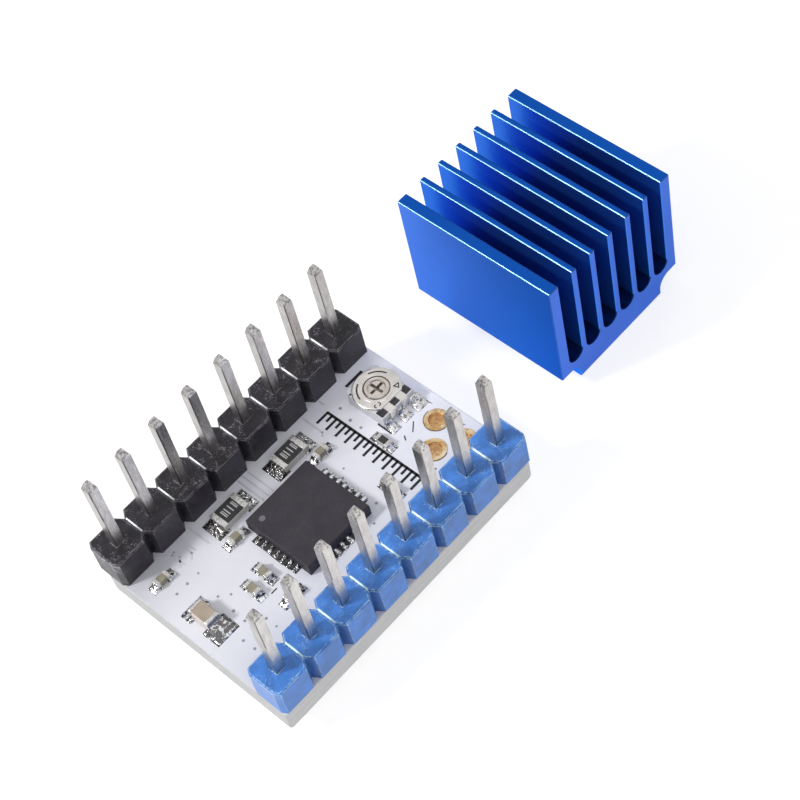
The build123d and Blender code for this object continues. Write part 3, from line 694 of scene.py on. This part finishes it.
SMALL_CHIP = {"length": 1.0, "width": 0.5, "pad_end": 0.88, "pad_width": 0.66, "rise": 0.34, "foot": 0.07}
SENSE_RESISTOR = {"length": 2.0, "width": 1.25, "pad_end": 1.62, "pad_width": 1.52, "foot": 0.09}
BULK_CAPACITOR = {"length": 1.6, "width": 1.0, "foot": 0.09}
sense_resistors = ("sense_resistor_1_body", "sense_resistor_2_body")

small_chips = [n for n in nodes if n.startswith("capacitor_") and n.endswith("_body")]
solder = Pieces()
for name in small_chips + ["small_resistor_body"]:
    end_joints(solder, name, **SMALL_CHIP)
for name in sense_resistors:
    end_joints(solder, name, rise=0.42, sides=(0,), **SENSE_RESISTOR)
end_joints(solder, "bulk_capacitor_body", pad_end=1.32, pad_width=1.62, rise=0.42, sides=(0,),
           **BULK_CAPACITOR)
solder.make("chip_part_solder", "module", looks["solder"], smooth=True)

# painted reflection: darker solder at the sense resistors' -X ends
darker_solder = Pieces()
for name in sense_resistors:
    end_joints(darker_solder, name, rise=0.34, sides=(180,), **SENSE_RESISTOR)
darker_solder.make("sense_resistor_solder_left", "module", extra_looks["shaded_solder"], smooth=True)

# painted reflection: darker, flecked solder at the bulk capacitor's front end
darker_solder = Pieces()
end_joints(darker_solder, "bulk_capacitor_body", pad_end=1.80, pad_width=1.66, rise=0.46, sides=(180,),
           **BULK_CAPACITOR)
darker_solder.make("bulk_capacitor_solder_front", "module", extra_looks["flecked_solder"], smooth=True)

# ---- solder and flux on the driver chip's pads and the trimmer's tabs -------------------------------
LEAD_PITCH, LEADS_A_SIDE = 0.5, 7
chip_low, chip_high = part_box("driver_chip_body")
chip = (chip_low + chip_high) / 2 / MM
chip_half = (chip_high.x - chip_low.x) / 2 / MM


def chip_feet(quarter, name, material):
    """Solder on the seven pads along one side of the chip; quarter counts quarter turns from +X."""
    feet = Pieces()
    turn = 90 * quarter
    c, s = math.cos(math.radians(turn)), math.sin(math.radians(turn))
    length, slope, crown = (0.66, 0.03, 0.07) if quarter == 0 else (0.50, 0.17, 0.0)
    pad_width = 0.31
    for i in range(LEADS_A_SIDE):
        across = LEAD_PITCH * (i - LEADS_A_SIDE // 2)
        start = chip_half - 0.02
        x = chip.x + start * c - across * s
        y = chip.y + start * s + across * c
        seed = quarter * LEADS_A_SIDE + i

        def height(u, v, seed=seed):
            climb = slope * (1 - u) ** 1.6 + 0.05 + 0.02 * wobble(u + seed, v, seed)
            climb = climb + crown * pillow(2 * u - 1, 4)
            return max(0.015, climb * (0.25 + 0.75 * pillow(v, 2.5)) * (1 - u ** 7) ** 0.5)
        feet.blob((x, y, turn), length, pad_width, height, (8, 8))
    feet.make(name, "module", material, smooth=True)


# painted light and reflection: lighter solder on the chip's +X side, solder with more dark reflection on its
# -X side
side_solder = {"right": "lit_solder", "black": "lead_solder", "left": "shaded_solder", "blue": "lead_solder"}
for quarter, (side, kind) in enumerate(side_solder.items()):
    chip_feet(quarter, f"driver_chip_solder_{side}", extra_looks[kind])

# solder over the trimmer's three tabs: each joint's x from the rotor's axis, its length and its width
tab_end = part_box("trimmer_terminals")[1].y / MM
trimmer = middle("trimmer_rotor")
tabs = Pieces()
for k, (x, length, width) in enumerate([(-1.00, 0.74, 0.70), (0.05, 0.74, 0.76), (1.14, 0.86, 0.92)]):
    def height(u, v, k=k):
        climb = 0.42 * math.exp(-(u / 0.30) ** 2) + 0.10 + 0.05 * wobble(u * 2 + k, v * 1.3, k)
        return max(0.015, climb * pillow(v, 3) ** 0.6 * (1 - u ** 6) ** 0.5)
    tabs.blob((trimmer.x + x, tab_end + 0.01, -90), length, width, height, (14, 12))
tabs.make("trimmer_solder", "module", extra_looks["tab_solder"], smooth=True)

# dark strips between the chip's pads
dark_gaps = Pieces()
for quarter, reach in ((0, 0.50), (2, 0.50), (3, 0.42)):
    c, s = math.cos(math.radians(90 * quarter)), math.sin(math.radians(90 * quarter))
    for i in range(LEADS_A_SIDE):
        across = LEAD_PITCH * (i - LEADS_A_SIDE // 2)
        left, right = across - LEAD_PITCH / 2, across + LEAD_PITCH / 2
        far = chip_half + reach + 0.05 * wobble(i, 2.3, 1.7 + quarter, 1.0)
        corners = ((chip_half, left), (far, left), (far, right), (chip_half, right))
        outline = [(chip.x + u * c - v * s, chip.y + u * s + v * c) for u, v in corners]
        dark_gaps.prism(outline, ink_low, ink_low + 0.008)
dark_gaps.make("driver_chip_dark_gaps", "module", extra_looks["dark_gaps"])

# ---- marks on the trimmer ---------------------------------------------------------------------------
# painted shadow: dark strips on the ceramic under the cover's two arc slots, and a dot on the ceramic; spans
# are in degrees
ceramic_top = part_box("trimmer_base")[1].z / MM
slot_shadow_radius, slot_shadow_width, slot_shadow_span = 1.17, 0.14, 58
dot_left, dot_back, dot_size = 1.19, 1.05, 0.07
slot_shadow_and_dot = Pieces()
for centre in (40, 140):
    arc = arc_outline(trimmer.x, trimmer.y, slot_shadow_radius, slot_shadow_width, centre, slot_shadow_span)
    slot_shadow_and_dot.ring_part(arc, ceramic_top + 0.002, ceramic_top + 0.05)
slot_shadow_and_dot.disc(trimmer.x - dot_left, trimmer.y + dot_back, dot_size, ceramic_top - 0.01, ceramic_top + 0.006)
slot_shadow_and_dot.make("trimmer_slot_shadow_and_dot", "module", looks["resistive_film"])

# a plain triangle and a broken ring stamped in the cover's flat, which is lower than the lip round its hole
lip_height = 0.04
cover_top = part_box("trimmer_cover")[1].z / MM - lip_height
stamps = Pieces()
stamp_line = 0.065
stamp_low, stamp_high = cover_top - 0.01, cover_top + 0.006
centre_x, centre_y, corner_out = trimmer.x + 0.86, trimmer.y - 0.84, 0.19
corners = [(centre_x + corner_out * math.cos(a), centre_y + corner_out * math.sin(a))
           for a in (0.3, 2.4, 4.5)]
for a, b in zip(corners, corners[1:] + corners[:1]):
    stamps.stroke(a, b, stamp_line, stamp_low, stamp_high)
ring_x, ring_y, ring_radius, ring_span = trimmer.x - 0.84, trimmer.y - 0.86, 0.11, 170
for offset, centre in ((0.09, -30), (-0.09, 150)):
    arc = arc_outline(ring_x + offset, ring_y, ring_radius, stamp_line, centre, ring_span)
    stamps.ring_part(arc, stamp_low, stamp_high)
stamps.make("trimmer_stamps", "module", extra_looks["ink"])

# ---- gold in the plated holes, painted shadow round their pads ---------------------------------------
HOLE_RADIUS, PAD_RADIUS, LINING, GAP = 0.50, 0.76, 0.025, 0.002
holes = [(m["pos_m"][0] / MM, m["pos_m"][1] / MM) for m in frame["record"]["mounts"] if m["kind"] == "bore"]
wall_in, wall_out = HOLE_RADIUS - LINING, HOLE_RADIUS - GAP
gold = Pieces()
for x, y in holes:
    gold.lathe(x, y, [(wall_in, BACK), (wall_in, TOP), (wall_out, TOP), (wall_out, BACK)])
gold.make("hole_linings", "module", extra_looks["gold_wall"])

# painted shadow: a dark arc on each pad's -X side, where the mask's edge casts shade
pad_shadow_radius, pad_shadow_width, pad_shadow_centre, pad_shadow_span = PAD_RADIUS + 0.02, 0.05, 185, 210
painted_shade = Pieces()
for x, y in holes:
    arc = arc_outline(x, y, pad_shadow_radius, pad_shadow_width, pad_shadow_centre, pad_shadow_span, 24)
    painted_shade.ring_part(arc, ink_low, ink_low + 0.035)
painted_shade.make("hole_pad_shadow", "module", extra_looks["painted_shade"])

# ---- printing and marks ---------------------------------------------------------------------------
ink = Pieces()
# a plain printed scale: a spine with long and short ticks
spine_x, long_tick_x, short_tick_x = 5.34, 4.44, 4.86
scale_y, step, ticks = -3.46, 0.373, 21
spine_width, tick_width = 0.17, 0.16
ink.stroke((spine_x, scale_y), (spine_x, scale_y + step * (ticks - 1)), spine_width, ink_low, ink_high)
for i in range(ticks):
    y = scale_y + step * i
    tick_end = long_tick_x if i % 2 == 0 else short_tick_x
    ink.stroke((tick_end, y), (spine_x, y), tick_width, ink_low, ink_high)
# short printed lines: two ends and a width
for a, b, w in [
    ((6.53, 0.00), (6.53, 1.00), 0.10), ((6.53, 1.00), (6.62, 1.03), 0.10),
    ((6.53, 0.00), (6.62, -0.05), 0.10), ((7.35, -0.95), (7.90, -0.50), 0.06),
    ((6.68, -1.00), (6.85, -0.75), 0.07), ((5.85, -3.30), (6.30, -3.70), 0.09),
    ((5.50, -0.33), (5.70, -0.25), 0.10), ((-5.30, -1.75), (-4.90, -1.75), 0.07),
    ((7.35, 4.37), (8.65, 4.37), 0.18),
]:
    ink.stroke(a, b, w, ink_low, ink_high)
# two small printed wedges at the board's +X edge
ink.prism([(9.30, 0.12), (9.44, 0.10), (9.50, -0.58)], ink_low, ink_high)
ink.prism([(9.24, -2.60), (9.50, -2.52), (9.53, -3.12), (9.40, -2.80)], ink_low, ink_high)
ink.make("printing", "module", extra_looks["ink"])

# plain bars on the resistors' coats, and a pale line on the board along the chip's +Y side
marks = Pieces()
bar_pitch, bar_half, bar_width, thin_width = 0.27, 0.26, 0.075, 0.05
for name in ("sense_resistor_1_coat", "sense_resistor_2_coat"):
    x, y, _ = middle(name)
    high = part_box(name)[1].z / MM
    for k in range(4):
        bar_x = x + bar_pitch * (k - 1.5)
        marks.stroke((bar_x, y - bar_half), (bar_x, y + bar_half), bar_width, high, high + 0.008)
        if k in (0, 3):
            thin_x = bar_x + 0.11
            marks.stroke((thin_x, y - bar_half), (thin_x, y + bar_half), thin_width, high, high + 0.008)
line_y = chip.y + chip_half + 0.13
marks.stroke((chip.x - chip_half + 0.05, line_y), (chip.x + chip_half - 0.1, line_y), 0.07, ink_low, ink_high)
marks.make("coat_marks", "module", extra_looks["mark"])

# the dot lies in the chip's corner dimple, whose floor is below the chip's top
dot_in, dot_radius, dot_low, dot_high = 1.82, 0.195, TOP + 0.868, TOP + 0.874
dot = Pieces()
dot.disc(chip.x - dot_in, chip.y + dot_in, dot_radius, dot_low, dot_high, 28)
dot.make("chip_corner_dot", "module", extra_looks["dot"])

# via mouths: x, y and radius
vias = Pieces()
for x, y, r in [
    (-8.63, 2.53, .09), (-7.80, 2.53, .09), (-6.95, 2.50, .07), (-8.37, -2.55, .09), (-8.33, -3.40, .09),
    (-6.60, -2.60, .09), (-6.60, -3.40, .07), (-7.40, -0.80, .10), (-6.75, 0.05, .08), (-7.30, 0.55, .08),
    (-7.45, -1.75, .09), (-8.40, -1.70, .06), (1.50, 2.45, .06), (2.60, 0.20, .09), (3.10, 0.60, .07),
    (2.55, -2.50, .09), (1.50, -3.30, .08), (5.75, 2.55, .11), (5.75, 1.70, .09), (6.00, 3.60, .10),
]:
    vias.disc(x, y, r, TOP + 0.001, TOP + 0.012)
vias.make("via_mouths", "module", extra_looks["via"])

# ---- tracks under the mask ------------------------------------------------------------------------
track_width = 0.12
tracks = Pieces()
for run in [
    [(-7.45, 5.05), (-7.05, 4.55), (-7.05, 3.55)],
    [(-7.20, 5.05), (-6.85, 4.60), (-6.85, 4.10), (-7.35, 3.60)],
    [(-6.25, 5.05), (-6.25, 3.75), (-6.55, 3.45)], [(-6.00, 5.05), (-6.00, 3.70)],
    [(-5.20, 5.05), (-5.20, 3.40)], [(-1.25, 5.00), (-1.25, 2.85)], [(-0.85, 5.00), (-0.85, 2.85)],
    [(-0.45, 5.00), (-0.45, 2.85)], [(4.15, 4.95), (4.15, 3.30), (3.95, 3.10)],
    [(5.60, 4.95), (5.60, 4.55)],
]:
    for a, b in zip(run, run[1:]):
        tracks.stroke(a, b, track_width, TOP + 0.001, TOP + 0.016)
tracks.make("covered_tracks", "module", extra_looks["trace"])

# ---- floor, light, camera ---------------------------------------------------------------------------
scene = bpy.context.scene


def floor():
    """Pale paper that glows a little, so that shadows on it are faint. Its size is in metres."""
    half_side, just_below = 1.5, 0.00002
    bm = bmesh.new()
    bmesh.ops.create_grid(bm, x_segments=8, y_segments=8, size=half_side)
    mesh = bpy.data.meshes.new("floor")
    bm.to_mesh(mesh)
    bm.free()
    look = Look("floor_paper", Specular_IOR_Level=0.2, Emission_Color=(1, 1, 1, 1), Emission_Strength=0.68)
    colour = look.mix(look.noise(2.5, 3), (0.44, 0.44, 0.44), (0.47, 0.47, 0.47))
    mesh.materials.append(look.done(colour, 0.9, look.bump(look.noise(0.5, 3), 0.01, 0.2)))
    obj = bpy.data.objects.new("floor", mesh)
    obj.location = (0, 0, -just_below)
    scene.collection.objects.link(obj)


def card(x, reach, low, high):
    """A pale card on edge between board and heat sink that glows, a painted reflection. Only reflections see
    it, so the sink's blue stays off the solder."""
    bm = bmesh.new()
    corners = [(x, -reach, low), (x, reach, low), (x, reach, high), (x, -reach, high)]
    bm.faces.new([bm.verts.new(Vector(c) * MM) for c in corners])
    mesh = bpy.data.meshes.new("card")
    bm.to_mesh(mesh)
    bm.free()
    look = Look("glowing_reflection_card", Specular_IOR_Level=0.0, Emission_Color=(1, 1, 1, 1), Emission_Strength=0.55)
    colour = look.mix(look.noise(2.5, 3), (0.10, 0.10, 0.10), (0.14, 0.14, 0.14))
    mesh.materials.append(look.done(colour, 0.9))
    obj = bpy.data.objects.new("card", mesh)
    for ray in ("camera", "diffuse", "shadow", "transmission", "volume_scatter"):
        setattr(obj, f"visible_{ray}", False)
    scene.collection.objects.link(obj)


def lamp(name, place, aim, size, power):
    """A round soft light; place, aim and size are in metres, power in watts."""
    data = bpy.data.lights.new(name, "AREA")
    data.shape, data.size, data.energy = "DISK", size, power
    obj = bpy.data.objects.new(name, data)
    obj.location = place
    obj.rotation_mode = "QUATERNION"
    obj.rotation_quaternion = (Vector(aim) - Vector(place)).to_track_quat("-Z", "Y")
    scene.collection.objects.link(obj)


def sky():
    """Studio surroundings: grey near the horizon, bright overhead."""
    world = bpy.data.worlds.new("studio")
    scene.world = world
    world.use_nodes = True
    tree = world.node_tree
    back = tree.nodes["Background"]
    place = tree.nodes.new("ShaderNodeTexCoord")
    split = tree.nodes.new("ShaderNodeSeparateXYZ")
    ramp = tree.nodes.new("ShaderNodeValToRGB")
    tree.links.new(place.outputs["Generated"], split.inputs[0])
    tree.links.new(split.outputs["Z"], ramp.inputs["Fac"])
    tree.links.new(ramp.outputs["Color"], back.inputs["Color"])
    # sine of the elevation, brightness
    stops = [(0.0, 0.30), (0.15, 0.16), (0.45, 0.25), (0.68, 0.78), (1.0, 0.85)]
    while len(ramp.color_ramp.elements) < len(stops):
        ramp.color_ramp.elements.new(0.5)
    for element, (at, value) in zip(ramp.color_ramp.elements, stops):
        element.position = at
        element.color = (value, value, value * 1.02, 1)


def camera(azimuth, elevation, roll, target, distance, lens):
    """Azimuth 0 looks along +Y, elevation is above the horizon and roll turns the picture, all in degrees."""
    a, e, r = (math.radians(v) for v in (azimuth, elevation, roll))
    back = Vector((math.sin(a) * math.cos(e), -math.cos(a) * math.cos(e), math.sin(e)))
    level = Vector((math.cos(a), math.sin(a), 0))
    upright = back.cross(level)
    right = level * math.cos(r) + upright * math.sin(r)
    up = back.cross(right)
    data = bpy.data.cameras.new("camera")
    data.lens, data.clip_start, data.clip_end = lens, 0.005, 10
    obj = bpy.data.objects.new("camera", data)
    place = Matrix.Translation((Vector(target) + back * distance) * MM)
    obj.matrix_world = place @ Matrix((right, up, back)).transposed().to_4x4()
    scene.collection.objects.link(obj)
    scene.camera = obj


floor()
card(x=11.2, reach=9.0, low=0.2, high=11.0)
sky()
lamp("key", place=(-0.230, 0.125, 0.235), aim=(0.004, 0, 0.003), size=0.065, power=0.78)
lamp("fill", place=(-0.07, -0.25, 0.34), aim=(0.004, 0, 0.003), size=0.26, power=0.22)
camera(azimuth=-34.60, elevation=54.97, roll=-15.72, target=(7.46, -0.42, 5.72), distance=120.0, lens=95.43)
scene.view_settings.view_transform = "Standard"
